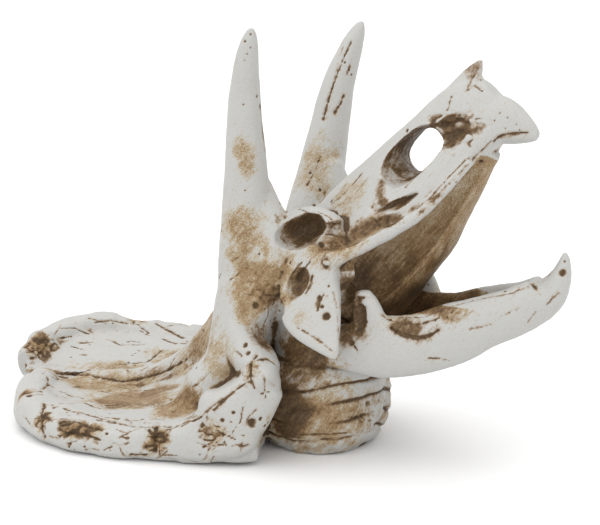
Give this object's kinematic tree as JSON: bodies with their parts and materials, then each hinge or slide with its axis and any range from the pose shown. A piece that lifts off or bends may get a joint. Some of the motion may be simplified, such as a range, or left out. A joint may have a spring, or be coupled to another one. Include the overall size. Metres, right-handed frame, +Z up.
{
  "type": "resin horned dinosaur skull ornament",
  "caption": "Cast-resin skull of a horned dinosaur, jaws open, resting on its neck stump and on the low lobes of its frill; a painted ornament in one fused piece.",
  "frame": {"origin": "middle of the flat underside of the neck stump, on the ground", "axes": "+X along the skull towards the beak, +Y to the animal's left, +Z up"},
  "size_m": [0.2585, 0.1295, 0.1657],
  "materials": {
    "bone_paint": "cast resin painted off-white, with a dark umber wash in the recesses and a tan sprayed speckle",
    "horn_paint": "cast resin painted off-white, slightly smoother, with small pits and thin umber cracks",
    "stump_paint": "cast resin painted off-white over layered ripples, with a heavy umber wash"
  },
  "bodies": {
    "root": {"brow_horn_left": "horn_paint", "brow_horn_right": "horn_paint", "nose_horn": "horn_paint", "upper_beak": "horn_paint", "lower_beak": "horn_paint", "cranium": "bone_paint", "snout": "bone_paint", "cheek_left": "bone_paint", "cheek_right": "bone_paint", "jaw_left": "bone_paint", "jaw_right": "bone_paint", "frill_left": "bone_paint", "frill_right": "bone_paint", "neck_stump": "stump_paint"}
  },
  "joints": []
}
